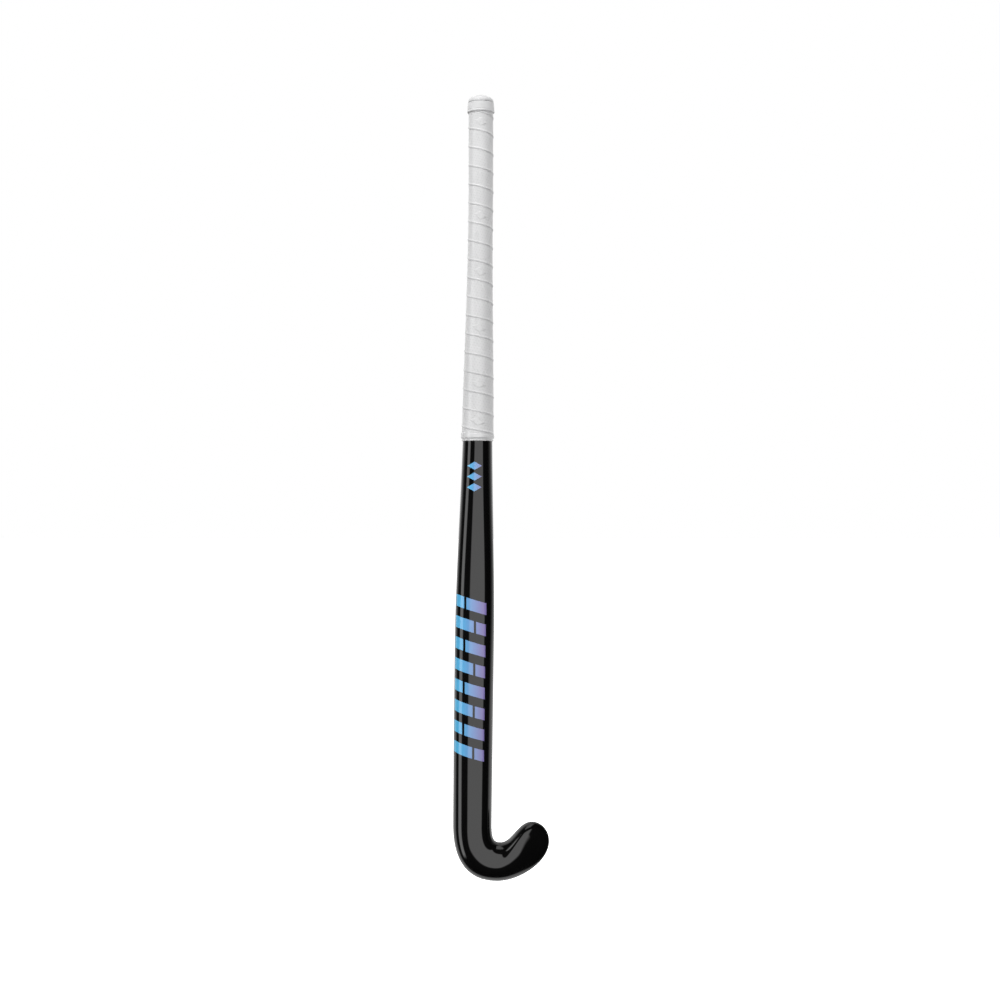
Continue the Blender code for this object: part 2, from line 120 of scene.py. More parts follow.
# ---------------------------------------------------------------- grip tape, in metres
TAPE_BASE = 0.00068
TAPE_THICKNESS = 0.00085
TAPE_OVERLAP = 0.0075
TAPE_EDGE_RISE = 0.00022
TAPE_EDGE_ROUND = 0.0009
TAPE_THINNEST = 0.00001
TAPE_PITCH = 0.0218
TAPE_FIRST_LAP = 0.0538
TAPE_WIDTH = TAPE_PITCH + TAPE_OVERLAP
# levels above the pitch, where the strip lies hidden under the next turn
HIDDEN_LEVELS = (0.0008, 0.0030)
# distance from the strip's edge, reach to each side, and height or depth
BEAD = (0.0015, 0.0013, 0.00040)
CREASE = (0.0002, 0.0010, 0.00026)
HOLE_STEP = 0.0031
HOLE_RADIUS = 0.00062
HOLE_DEPTH = 0.00024
HOLE_ROWS = 7
# the embossed lozenges: their places as turns from the first lap, half sizes, share of slope, height
MOTIF_TURNS = (0.75, 5.75, 8.75, 11.75, 14.75, 16.75, 3.25, 7.25, 10.25, 13.25)
MOTIF_HALF = (0.0078, 0.0058)
MOTIF_SLOPE = 0.30
MOTIF_RAISE = 0.00050
# the perforations stop where an embossed lozenge has risen this far
MOTIF_START = 0.00002

# ---------------------------------------------------------------- prints, in metres
PRINT_LIFT = 0.00006
PRINT_STEP = 0.0008
PRINT_ROWS = 8
PRINT_FIRST_ROW = 0.3394
PRINT_ROW_PITCH = 0.0245
PRINT_ROW_HALF = 0.0068
PRINT_SLANT = 0.30
PRINT_HEEL_SHARE = 0.96
PRINT_ACROSS = 0.0350
PRINT_SPLITS = (0.0105, 0.0225)
PRINT_SPLIT_HALF = 0.0013
LARGE_PRINT_SIDES = (-0.030, 0.008)
LOZENGE_COUNT = 3
LOZENGE_FIRST = 0.4955
LOZENGE_PITCH = 0.0125
LOZENGE_HALF = (0.0086, 0.0047)
LOZENGE_SIDE_SHARE = 0.15
SMALL_PRINT_SIDES = (-0.016, 0.006)

# ---------------------------------------------------------------- studio
# a direction's azimuth is 0 towards the camera and positive on the toe side; heights are direction Z
FILL = 0.30
BACKDROP_RIGHT = math.radians(84.0)
BACKDROP_LEFT = math.radians(-94.0)
BACKDROP_HEIGHTS = (-0.22, -0.02)
BACKDROP_RIGHT_FULL = (math.radians(103.0), math.radians(150.0))
BACKDROP_LEFT_FULL = (math.radians(-110.0), math.radians(-138.0))
BACKDROP_GLOSS = 1.15
BEHIND_TURN = (math.radians(152.0), math.radians(177.0))
BEHIND_HEIGHTS = (-0.06, 0.14)
BEHIND_SHARES = (0.12, 0.80)
BEHIND_FOOT = (-0.50, -0.32)
FLOOR_DROP = 0.30
FLOOR_REACH = 30.0
LIGHT_TARGET = Vector((0.0, 0.0, -0.45))
LOW_TARGET = Vector((0.0, 0.0, -1.25))
CAMERA_SPOT = Vector((0.0224, -1.9275, -0.4135))
CAMERA_LENS = 59.22
CAMERA_SENSOR = 36.0


# ---------------------------------------------------------------- the stick's shape
def ease(value, start, end):
    """0 at start, 1 at end, with level ends."""
    t = min(max((value - start) / (end - start), 0.0), 1.0)
    return t * t * (3.0 - 2.0 * t)


def mix(a, b, t):
    return a + (b - a) * t


def spread(start, end, steps):
    """Evenly spaced values, both ends included."""
    return [mix(start, end, i / steps) for i in range(steps + 1)]


def height_of(z):
    """The layout height of a level on the straight handle."""
    return BOW_START + z - BOW_Z


def place(side, height, depth):
    """A point of the layout on the bowed stick. depth is positive towards the playing face."""
    if height >= BOW_START:
        angle, y, z = 0.0, 0.0, BOW_Z + height - BOW_START
    elif height >= BOW_END:
        angle = (BOW_START - height) / BOW_RADIUS
        y = BOW_RADIUS * (1.0 - math.cos(angle))
        z = BOW_Z - BOW_RADIUS * math.sin(angle)
    else:
        angle = BOW_ANGLE
        below = BOW_END - height
        y = BOW_RADIUS * (1.0 - math.cos(angle)) + below * math.sin(angle)
        z = BOW_Z - BOW_RADIUS * math.sin(angle) - below * math.cos(angle)
    return Vector((side, y + depth * math.cos(angle), z + depth * math.sin(angle)))


def half_width(height):
    share = GRIP_FLARE_SHARE * ease(height, *GRIP_FLARE)
    share += (1.0 - GRIP_FLARE_SHARE) * ease(height, *SHAFT_FLARE)
    return mix(HANDLE_HALF_WIDTH, SHAFT_HALF_WIDTH, share)


def centre_side(height):
    t = min(max((LEAN_TOP - height) / (LEAN_TOP - HEAD_TOP), 0.0), 1.0)
    return -LEAN * mix(ease(t, 0.0, 1.0), t, LEAN_STRAIGHT_SHARE)


def section_shape(height):
    """Depth to the back and to the front, how flat the front is, and how full the back's curve is."""
    width = half_width(height)
    change = ease(height, *BACK_CHANGE)
    flatness = ease(height, *FRONT_CHANGE)
    back = width * mix(1.0, BACK_RATIO, change)
    return back, mix(width, FRONT_DEPTH, flatness), flatness, mix(2.0, BACK_FULLNESS, change)


def bezier(p0, p1, p2, p3, t):
    a, b, c, d = (1 - t) ** 3, 3 * t * (1 - t) ** 2, 3 * t * t * (1 - t), t**3
    return Vector([a * p0[i] + b * p1[i] + c * p2[i] + d * p3[i] for i in (0, 1)])


def toe_arc(angle):
    return Vector(
        (TOE_CENTRE[0] + TOE_RADII[0] * math.cos(angle), TOE_CENTRE[1] + TOE_RADII[1] * math.sin(angle))
    )


def shaft_station(height):
    """Heel edge, toe-side edge and middle of the shaft at one height, and 0 for how far it is toe."""
    middle = Vector((centre_side(height), height))
    reach = Vector((half_width(height), 0.0))
    return middle - reach, middle + reach, middle, 0.0


def head_stations():
    """Heel and underside point, hook-side point and middle, all the way round to the toe's tip."""
    heel, hook_side, middle, _ = shaft_station(HEAD_TOP)
    slope = Vector((LEAN * LEAN_STRAIGHT_SHARE / (LEAN_TOP - HEAD_TOP), 1.0))
    heel_handle = heel - slope * HEEL_HANDLE
    toe_side = toe_arc(0.0)
    toe_top = toe_arc(math.pi / 2)
    stations = []
    for t in spread(0.0, 1.0, TURN_STEPS)[1:]:
        outer = bezier(heel, heel_handle, UNDERSIDE[0], UNDERSIDE[1], t)
        inner = bezier(hook_side, HOOK_CORNER[0], HOOK_CORNER[1], HOOK_FLOOR, t)
        stations.append((outer, inner, bezier(middle, *MIDDLE_TURN, t), 0.0))
    for t in spread(0.0, 1.0, RISE_STEPS)[1:]:
        outer = bezier(UNDERSIDE[1], UNDERSIDE[2], UNDERSIDE[3], toe_side, t * FAN_OUTER)
        inner = bezier(HOOK_FLOOR, TOE_SLOPE[0], TOE_SLOPE[1], toe_top, t * FAN_INNER)
        stations.append((outer, inner, bezier(MIDDLE_TURN[2], *MIDDLE_RISE, t), t))
    middle = Vector(MIDDLE_RISE[2])
    for t in spread(0.0, 2.0, FAN_STEPS)[1:]:
        if t <= 1.0:
            outer = bezier(UNDERSIDE[1], UNDERSIDE[2], UNDERSIDE[3], toe_side, mix(FAN_OUTER, 1.0, t))
            inner = bezier(HOOK_FLOOR, TOE_SLOPE[0], TOE_SLOPE[1], toe_top, mix(FAN_INNER, 1.0, t))
        else:
            outer = toe_arc(mix(0.0, math.pi / 4, t - 1.0))
            inner = toe_arc(mix(math.pi / 2, math.pi / 4, t - 1.0))
        stations.append((outer, inner, middle, 1.0))
    return stations


def section_factors(angle, front_over_width, flatness, fullness):
    """Reach from the middle and depth at a ring angle, both as shares. The back is angles 0 to pi."""
    turn = math.sin(angle)
    reach = math.cos(angle)
    if turn >= 0.0:
        power = 2.0 / fullness
        return math.copysign(abs(reach) ** power, reach), -(turn**power)
    quarter = 1.0 - abs(abs(math.degrees(angle) - 270.0) / 90.0)
    corner = min(quarter * 2.0, 1.0) * math.pi / 2
    flat_reach = 1.0 - front_over_width * (1.0 - math.cos(corner))
    if quarter > 0.5:
        flat_reach = (1.0 - front_over_width) * (1.0 - quarter) * 2.0
    flat_reach = math.copysign(flat_reach, reach)
    return mix(reach, flat_reach, flatness), mix(-turn, math.sin(corner), flatness)


def section_point(station, angle, inset=0.0):
    """A point of the skin, or of the surface inset below it, at one station and ring angle."""
    outer, inner, middle, toe = station
    back, front, flatness, fullness = section_shape(middle.y)
    edge = (inner if math.cos(angle) >= 0.0 else outer) - middle
    width = edge.length - inset
    reach, depth = section_factors(angle, (front - inset) / width, flatness, fullness)
    spot = middle + edge.normalized() * abs(reach) * width
    if depth < 0.0:
        # the toe's back thins out towards its tip and is more ridged than the evenly rounded shaft
        back *= 1.0 - TOE_TAPER * ease(spot.x, *TOE_TAPER_SIDES)
        depth *= (back - inset) * (1.0 - TOE_RIDGE * toe * math.cos(angle) ** 2)
    else:
        depth *= front - inset
    return place(spot.x, spot.y, depth)


def ring_angles(count=RING):
    return [2.0 * math.pi * k / count for k in range(count)]


def back_angle(side, height):
    """The ring angle of the back's point at a side distance from the handle's axis."""
    fullness = section_shape(height)[3]
    share = (side - centre_side(height)) / half_width(height)
    share = min(max(share, -1.0), 1.0)
    return math.acos(math.copysign(abs(share) ** (fullness / 2.0), share))


# ---------------------------------------------------------------- mesh helpers
def build(name, points, faces, finish, replaces=(), sharp=40.0):
    """A mesh piece of the object, riding on the stick's body."""
    mesh = bpy.data.meshes.new(name)
    mesh.from_pydata([tuple(point) for point in points], [], faces)
    mesh.validate()
    mesh.shade_smooth()
    mesh.set_sharp_from_angle(angle=math.radians(sharp))
    mesh.materials.append(finish)
    piece = bpy.data.objects.new(name, mesh)
    bpy.context.scene.collection.objects.link(piece)
    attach(piece, "root")
    if replaces:
        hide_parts(*replaces)
    return piece


def loop_faces(rows, count, closed=True):
    """Quads between successive rows of count points, all in one list."""
    faces = []
    for row in range(rows - 1):
        for i in range(count if closed else count - 1):
            j = (i + 1) % count
            a, b = row * count, (row + 1) * count
            faces.append((a + i, a + j, b + j, b + i))
    return faces


def merge_and_orient(piece, distance=1e-6):
    shape = bmesh.new()
    shape.from_mesh(piece.data)
    bmesh.ops.remove_doubles(shape, verts=shape.verts[:], dist=distance)
    bmesh.ops.recalc_face_normals(shape, faces=shape.faces[:])
    shape.to_mesh(piece.data)
    shape.free()
    return piece


# ---------------------------------------------------------------- shader helpers
def grey(value):
    return (value, value, value, 1.0)


class Nodes:
    """Short calls for the nodes of one shader tree."""

    def __init__(self, tree):
        self.tree = tree

    def node(self, kind, inputs=None, **settings):
        """A new node, its inputs given as values or as sockets to link."""
        made = self.tree.nodes.new(kind)
        for key, value in settings.items():
            setattr(made, key, value)
        for key, value in (inputs or {}).items():
            socket = made.inputs[key]
            if isinstance(value, bpy.types.NodeSocket):
                self.tree.links.new(value, socket)
            else:
                socket.default_value = value
        return made

    def maths(self, operation, a, b=0.0):
        return self.node("ShaderNodeMath", {0: a, 1: b}, operation=operation).outputs[0]

    def remap(self, value, low, high, to_low, to_high, smooth=False):
        inputs = {"Value": value, "From Min": low, "From Max": high, "To Min": to_low, "To Max": to_high}
        kind = "SMOOTHSTEP" if smooth else "LINEAR"
        return self.node("ShaderNodeMapRange", inputs, interpolation_type=kind).outputs[0]


class Finish(Nodes):
    """A material with a Principled shader and short calls for the nodes that feed it."""

    def __init__(self, name, **values):
        self.material = bpy.data.materials.new(name)
        self.material.use_nodes = True
        super().__init__(self.material.node_tree)
        self.shader = self.tree.nodes["Principled BSDF"]
        for key, value in values.items():
            self.shader.inputs[key.replace("_", " ")].default_value = value

    def feed(self, key, socket):
        self.tree.links.new(socket, self.shader.inputs[key])

    def coordinates(self, kind="Object", scale=(1.0, 1.0, 1.0), turn=(0.0, 0.0, 0.0)):
        source = self.node("ShaderNodeTexCoord").outputs[kind]
        inputs = {"Vector": source, "Scale": scale, "Rotation": turn}
        return self.node("ShaderNodeMapping", inputs).outputs[0]

    def noise(self, vector, scale, detail=3.0, roughness=0.5):
        values = {"Vector": vector, "Scale": scale, "Detail": detail, "Roughness": roughness}
        return self.node("ShaderNodeTexNoise", values).outputs["Fac"]

    def ramp(self, factor, stops):
        made = self.node("ShaderNodeValToRGB", {"Fac": factor})
        elements = made.color_ramp.elements
        while len(elements) < len(stops):
            elements.new(0.5)
        for element, (position, colour) in zip(elements, stops):
            element.position = position
            element.color = (*colour, 1.0)
        return made.outputs["Color"]

    def blend(self, factor, first, second):
        """A mix of two colours. The node has several sockets of one name, so they go by number."""
        made = self.node("ShaderNodeMix", {0: factor, 6: first}, data_type="RGBA")
        self.tree.links.new(second, made.inputs[7])
        return made.outputs[2]

    def bump(self, height, strength, distance):
        values = {"Height": height, "Strength": strength, "Distance": distance}
        return self.node("ShaderNodeBump", values).outputs[0]


# ---------------------------------------------------------------- materials
def lacquer_finish():
    """Deep gloss black: a clear coat over a barely visible twill of carbon fibre."""
    made = Finish(
        "gloss_black_lacquer",
        Base_Color=grey(0.0015),
        Roughness=0.5,
        Specular_IOR_Level=0.03,
        Coat_Weight=1.0,
        Coat_Roughness=0.02,
        Coat_IOR=1.5,
    )
    twill = made.coordinates(turn=(0.0, math.radians(45.0), 0.0))
    waves = []
    for direction in ("X", "Z"):
        wave = made.node(
            "ShaderNodeTexWave",
            {"Vector": twill, "Scale": 120.0, "Distortion": 0.0},
            wave_type="BANDS",
            bands_direction=direction,
        )
        waves.append(wave.outputs["Fac"])
    weave = made.maths("MULTIPLY", waves[0], waves[1])
    cloud = made.noise(made.coordinates(), 30.0)
    shade = made.maths("MULTIPLY", weave, cloud)
    made.feed("Base Color", made.ramp(shade, [(0.0, (0.0010,) * 3), (1.0, (0.0030, 0.0030, 0.0034))]))
    smudge = made.noise(made.coordinates(scale=(1.0, 1.0, 0.35)), 55.0, 4.0)
    made.feed("Roughness", made.remap(smudge, 0.3, 0.7, 0.42, 0.58))
    peel = made.noise(made.coordinates(), 420.0, 1.0)
    made.feed("Coat Normal", made.bump(peel, 0.012, 0.0002))
    return made.material


def print_finish(low, high):
    """Printed ink under the clear coat, running from sky blue at the heel side to violet."""
    made = Finish(
        "blue_violet_print",
        Roughness=0.4,
        Specular_IOR_Level=0.1,
        Coat_Weight=1.0,
        Coat_Roughness=0.02,
        Coat_IOR=1.5,
    )
    across = made.node("ShaderNodeSeparateXYZ", {0: made.coordinates()}).outputs["X"]
    fine = made.noise(made.coordinates(), 900.0, 2.0)
    place_in = made.remap(across, low, high, 0.0, 1.0)
    grain = made.remap(fine, 0.0, 1.0, -0.02, 0.02)
    colour = made.ramp(
        made.maths("ADD", place_in, grain),
        [
            (0.0, (0.060, 0.33, 0.54)),
            (0.22, (0.085, 0.31, 0.54)),
            (0.55, (0.13, 0.22, 0.43)),
            (0.85, (0.165, 0.14, 0.33)),
            (1.0, (0.16, 0.12, 0.31)),
        ],
    )
    made.feed("Base Color", colour)
    return made.material


def grip_finish():
    """Soft satin polyurethane: fine leather-like grain and staggered rows of small perforations."""
    made = Finish(
        "light_grey_grip", Roughness=0.28, Specular_IOR_Level=0.6, Sheen_Weight=0.2, Sheen_Roughness=0.4
    )
    parts = made.node("ShaderNodeSeparateXYZ", {0: made.coordinates("UV")}).outputs
    along = made.maths("DIVIDE", parts["X"], HOLE_STEP)
    across = made.maths("DIVIDE", parts["Y"], HOLE_STEP)
    odd = made.maths("MULTIPLY", made.maths("MODULO", made.maths("FLOOR", across), 2.0), 0.5)
    u = made.maths("SUBTRACT", made.maths("FRACT", made.maths("ADD", along, odd)), 0.5)
    v = made.maths("SUBTRACT", made.maths("FRACT", across), 0.5)
    away = made.maths("SQRT", made.maths("ADD", made.maths("MULTIPLY", u, u), made.maths("MULTIPLY", v, v)))
    hole = made.remap(away, 0.08, 0.17, 0.0, 1.0)
    grain = made.noise(made.coordinates(), 1400.0, 3.0, 0.6)
    tone = made.noise(made.coordinates(scale=(1.0, 1.0, 0.5)), 35.0, 3.0)
    base = made.ramp(tone, [(0.3, (0.44, 0.44, 0.443)), (0.7, (0.47, 0.47, 0.473))])
    made.feed("Base Color", made.blend(hole, (0.36, 0.36, 0.362, 1.0), base))
    made.feed("Roughness", made.remap(tone, 0.3, 0.7, 0.25, 0.31))
    made.feed("Normal", made.bump(grain, 0.14, 0.0001))
    return made.material


def band_finish():
    """Smooth elastic tape with a faint lengthwise grain."""
    made = Finish("light_grey_band", Roughness=0.22, Specular_IOR_Level=0.7)
    lines = made.noise(made.coordinates(scale=(1.0, 1.0, 9.0)), 160.0, 3.0)
    tone = made.noise(made.coordinates(), 60.0, 3.0)
    made.feed("Base Color", made.ramp(tone, [(0.3, (0.445, 0.445, 0.448)), (0.7, (0.475, 0.475, 0.478))]))
    made.feed("Roughness", made.remap(tone, 0.3, 0.7, 0.19, 0.25))
    made.feed("Normal", made.bump(lines, 0.08, 0.00012))
    return made.material


def cap_finish():
    """Moulded light grey rubber with a slightly mottled satin skin."""
    made = Finish("light_grey_cap_rubber", Roughness=0.26, Specular_IOR_Level=0.6)
    tone = made.noise(made.coordinates(), 120.0, 4.0)
    grain = made.noise(made.coordinates(), 1800.0, 2.0)
    made.feed("Base Color", made.ramp(tone, [(0.3, (0.40, 0.40, 0.403)), (0.7, (0.43, 0.43, 0.433))]))
    made.feed("Roughness", made.remap(tone, 0.3, 0.7, 0.24, 0.32))
    made.feed("Normal", made.bump(grain, 0.12, 0.0001))
    return made.material


def foam_finish(name, light, dark, cell):
    """Foam: open or closed cells in two tones, with pits."""
    made = Finish(name, Roughness=0.9, Specular_IOR_Level=0.2)
    cells = made.node("ShaderNodeTexVoronoi", {"Vector": made.coordinates(), "Scale": 1.0 / cell})
    made.feed("Base Color", made.ramp(cells.outputs["Distance"], [(0.1, dark), (0.7, light)]))
    made.feed("Normal", made.bump(cells.outputs["Distance"], 0.5, cell / 4))
    return made.material


def laminate_finish():
    """Bare moulded laminate: a braid of dark fibres with resin between them."""
    made = Finish("bare_laminate_braid", Roughness=0.45)
    turned = made.coordinates(turn=(0.0, math.radians(45.0), 0.0))
    checks = {"Vector": turned, "Scale": 330.0, "Color1": grey(0.03), "Color2": grey(0.012)}
    braid = made.node("ShaderNodeTexChecker", checks)
    fibres = made.noise(made.coordinates(scale=(1.0, 1.0, 0.1)), 2500.0, 2.0)
    made.feed("Base Color", braid.outputs["Color"])
    made.feed("Roughness", made.remap(fibres, 0.3, 0.7, 0.35, 0.55))
    made.feed("Normal", made.bump(fibres, 0.2, 0.0001))
    return made.material


def plastic_finish(name, low, high):
    """Moulded plastic with a fine spark-eroded grain."""
    made = Finish(name, Roughness=0.5)
    grain = made.noise(made.coordinates(), 1500.0, 3.0)
    made.feed("Base Color", made.ramp(grain, [(0.3, low), (0.7, high)]))
    made.feed("Roughness", made.remap(grain, 0.3, 0.7, 0.42, 0.58))
    made.feed("Normal", made.bump(grain, 0.15, 0.0001))
    return made.material


def steel_finish():
    """Turned steel with fine circular machining lines."""
    made = Finish("turned_steel", Metallic=1.0, Roughness=0.3)
    rings = made.node(
        "ShaderNodeTexWave",
        {"Vector": made.coordinates(), "Scale": 900.0, "Distortion": 0.4, "Detail": 1.0},
        wave_type="BANDS",
        bands_direction="Z",
    ).outputs["Fac"]
    made.feed("Base Color", made.ramp(rings, [(0.0, (0.42, 0.42, 0.43)), (1.0, (0.52, 0.52, 0.53))]))
    made.feed("Roughness", made.remap(rings, 0.0, 1.0, 0.25, 0.4))
    made.feed("Normal", made.bump(rings, 0.15, 0.00005))
    return made.material


def underwrap_finish():
    """Thin grey foam-backed knit."""
    made = Finish("underwrap_knit", Roughness=0.9, Sheen_Weight=0.3)
    knit = made.node(
        "ShaderNodeTexVoronoi", {"Vector": made.coordinates(scale=(1.0, 1.0, 0.6)), "Scale": 1100.0}
    ).outputs["Distance"]
    made.feed("Base Color", made.ramp(knit, [(0.1, (0.18, 0.18, 0.19)), (0.6, (0.29, 0.29, 0.30))]))
    made.feed("Normal", made.bump(knit, 0.4, 0.0002))
    return made.material


# ---------------------------------------------------------------- pieces
def make_shell(finish):
    """Outer skin down to the toe's tip and inner skin back up, joined by the rim at the butt."""
    heights = spread(height_of(SHELL_TOP), HEAD_TOP, SHAFT_STEPS)
    stations = [shaft_station(h) for h in heights] + head_stations()
    outer = [[section_point(s, a) for a in ring_angles()] for s in stations]
    inner = [[section_point(s, a, WALL) for a in ring_angles()] for s in stations]
    loops = outer[::-1] + inner
    points = [point for loop in loops for point in loop]
    faces = loop_faces(len(loops), RING)
    shell = build("lacquered_shell", points, faces, finish, ["composite_shell"])
    return merge_and_orient(shell)


def tape_levels():
    """Distances from the tape's lower edge at which its outer face is sampled."""
    levels = [share * TAPE_EDGE_ROUND for share in (0.0, 0.03, 0.1, 0.22, 0.4, 0.6, 0.8)]
    step = HOLE_STEP / 8.0
    count = math.floor(TAPE_PITCH / step)
    levels += [step * k for k in range(2, count + 1)]
    return levels + [TAPE_PITCH, *(TAPE_PITCH + hidden for hidden in HIDDEN_LEVELS), TAPE_WIDTH]


def bell(distance, reach):
    """1 in the middle, 0 from the reach on, with a smooth top and foot."""
    return 1.0 - ease(abs(distance), 0.0, reach)


def motif(along, level):
    """Height of the embossed mark around its middle: a plain raised lozenge with soft edges."""
    size = abs(along) / MOTIF_HALF[0] + abs(level - TAPE_PITCH / 2) / MOTIF_HALF[1]
    return MOTIF_RAISE * ease(1.0 - size, 0.0, MOTIF_SLOPE)


def relief(along, turn, level, turn_length):
    """Bead, crease, perforations and embossing of the tape's outer face, as height above it."""
    height = BEAD[2] * bell(level - BEAD[0], BEAD[1])
    height -= CREASE[2] * bell(TAPE_PITCH - level - CREASE[0], CREASE[1])
    row = math.floor(level / HOLE_STEP)
    shift = 0.5 if row % 2 else 0.0
    u = (along / HOLE_STEP + shift) % 1.0 - 0.5
    v = (level / HOLE_STEP) % 1.0 - 0.5
    mark = max(motif((turn - middle) * turn_length, level) for middle in MOTIF_TURNS)
    if mark < MOTIF_START and 0 < row < HOLE_ROWS:
        height -= HOLE_DEPTH * bell(math.hypot(u, v) * HOLE_STEP, HOLE_RADIUS)
    return height + mark


def tape_section(level):
    """How far the tape's inner and outer face lie outside the shell at a distance from its lower edge."""
    # the upper edge is skived to nothing, and the next turn lies on it
    upper = TAPE_THICKNESS * min(1.0, max(TAPE_WIDTH - level, 0.0) / TAPE_OVERLAP)
    below = TAPE_THICKNESS * max(0.0, 1.0 - level / TAPE_OVERLAP)
    lower_share = min(level / TAPE_OVERLAP, 1.0)
    lower = mix(TAPE_EDGE_RISE, TAPE_THICKNESS, lower_share)
    if level < TAPE_EDGE_ROUND:
        lower *= math.sqrt(max(0.0, 1.0 - (1.0 - level / TAPE_EDGE_ROUND) ** 2))
    inside = TAPE_BASE + below
    return inside, inside + max(min(upper, lower), TAPE_THINNEST)


def make_grip_tape(finish):
    """One long strip, wound down the handle with every turn's lower edge over the next turn."""
    levels = tape_levels()
    under_levels = [0.0, TAPE_OVERLAP / 2, TAPE_OVERLAP, TAPE_PITCH, TAPE_WIDTH]
    first = (TAPE_FIRST_LAP - GRIP_TOP) / TAPE_PITCH - 1.0
    last = (TAPE_FIRST_LAP + TAPE_WIDTH - GRIP_BOTTOM) / TAPE_PITCH - 1.0
    turn_length = 2.0 * math.pi * (HANDLE_HALF_WIDTH + TAPE_BASE + TAPE_THICKNESS)
    step_length = HOLE_STEP / 4.0
    step_turn = step_length / turn_length
    steps = math.floor((last - first) / step_turn)
    points, uvs = [], []
    length, before = 0.0, None
    for step in range(steps + 1):
        turn = first + step_turn * step
        along = step_length * step
        angle = (-2.0 * math.pi * turn) % (2.0 * math.pi)
        edge = TAPE_FIRST_LAP - TAPE_PITCH * (1.0 + turn)
        outside, inside = [], []
        for level in levels:
            z = min(max(edge + level, GRIP_BOTTOM), GRIP_TOP)
            out = tape_section(z - edge)[1]
            if GRIP_BOTTOM < z < GRIP_TOP and level <= TAPE_PITCH:
                out += relief(along, turn, level, turn_length)
            outside.append(section_point(shaft_station(height_of(z)), angle, -out))
        for level in under_levels:
            z = min(max(edge + level, GRIP_BOTTOM), GRIP_TOP)
            inside.append(section_point(shaft_station(height_of(z)), angle, -tape_section(z - edge)[0]))
        # the strip's length is taken along its inner face, just above the part over the next turn
        along_inside = inside[2]
        if before is not None:
            length += (along_inside - before).length
        before = along_inside
        points += outside + inside[::-1]
        uvs += [(along, level) for level in levels + under_levels[::-1]]
    count = len(levels) + len(under_levels)
    faces = loop_faces(steps + 1, count)
    faces.append(tuple(range(count)))
    faces.append(tuple(steps * count + i for i in reversed(range(count))))
    tape = build("wound_grip_tape", points, faces, finish, ["grip_tape"], sharp=60.0)
    layer = tape.data.uv_layers.new(name="strip")
    for loop in tape.data.loops:
        layer.data[loop.index].uv = uvs[loop.vertex_index]
    merge_and_orient(tape, 2e-6)
    return tape, length


def revolve(name, profile, finish, replaces, count=128, sharp=40.0):
    """A turned piece from a closed or axis-to-axis profile of (radius, z)."""
    points = []
    for angle in ring_angles(count):
        for radius, z in profile:
            points.append((radius * math.cos(angle), radius * math.sin(angle), z))
    size = len(profile)
    closed = profile[0][0] > 0.0
    faces = []
    for k in range(count):
        a, b = k * size, ((k + 1) % count) * size
        for i in range(size if closed else size - 1):
            j = (i + 1) % size
            faces.append((a + i, b + i, b + j, a + j))
    piece = build(name, points, faces, finish, replaces, sharp)
    return merge_and_orient(piece)


def arc(centre, radii, start, end, steps):
    """Points on an ellipse between two angles in degrees."""
    out = []
    for degrees in spread(start, end, steps):
        angle = math.radians(degrees)
        out.append((centre[0] + radii[0] * math.cos(angle), centre[1] + radii[1] * math.sin(angle)))
    return out


def make_end_cap(finish):
    """Domed rubber cap: flat disc in a shallow ring, soft dome, undercut edge and the skirt below it."""
    low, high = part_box("end_cap")
    radius = high[0]
    shoulder = BUTT_Z - CAP_SHOULDER
    inner = HANDLE_HALF_WIDTH + GAP
    skirt = inner + CAP_SKIRT_WALL
    ceiling = SHELL_TOP + GAP
    rim = 0.0004
    # the slightly dished disc with its rounded edge, and the ring around it
    profile = [(0.0, BUTT_Z - rim / 4), (CAP_DISC - 3 * rim, BUTT_Z - rim / 10)]
    profile += arc((CAP_DISC - rim, BUTT_Z - rim), (rim, rim), 90.0, 0.0, 5)
    profile += arc((CAP_DISC + rim, BUTT_Z - 0.00095), (rim, 0.0003), 180.0, 270.0, 4)
    # the dome, its rounded lower edge and the undercut
    dome_start, dome_top = CAP_DISC + 0.0009, BUTT_Z - 0.0009
    profile += arc((dome_start, shoulder), (radius - dome_start, dome_top - shoulder), 87.0, 0.0, 24)
    profile += arc((radius - 0.0006, shoulder), (0.0006, 0.0008), -12.0, -90.0, 6)
    profile += [(skirt + 0.0001, shoulder - 0.0007), (skirt - 0.0003, shoulder - 0.0012)]
    # the skirt around the shell's end, and the peg inside it
    profile += [(skirt, shoulder - 0.0020), (skirt, low[2]), (inner, low[2]), (inner, ceiling)]
    profile += [(CAP_PEG_RADIUS, ceiling), (CAP_PEG_RADIUS, CAP_PEG_END + 0.0006)]
    profile += [(CAP_PEG_RADIUS - 0.0006, CAP_PEG_END), (0.0, CAP_PEG_END)]
    return revolve("domed_end_cap", profile, finish, ["end_cap"])


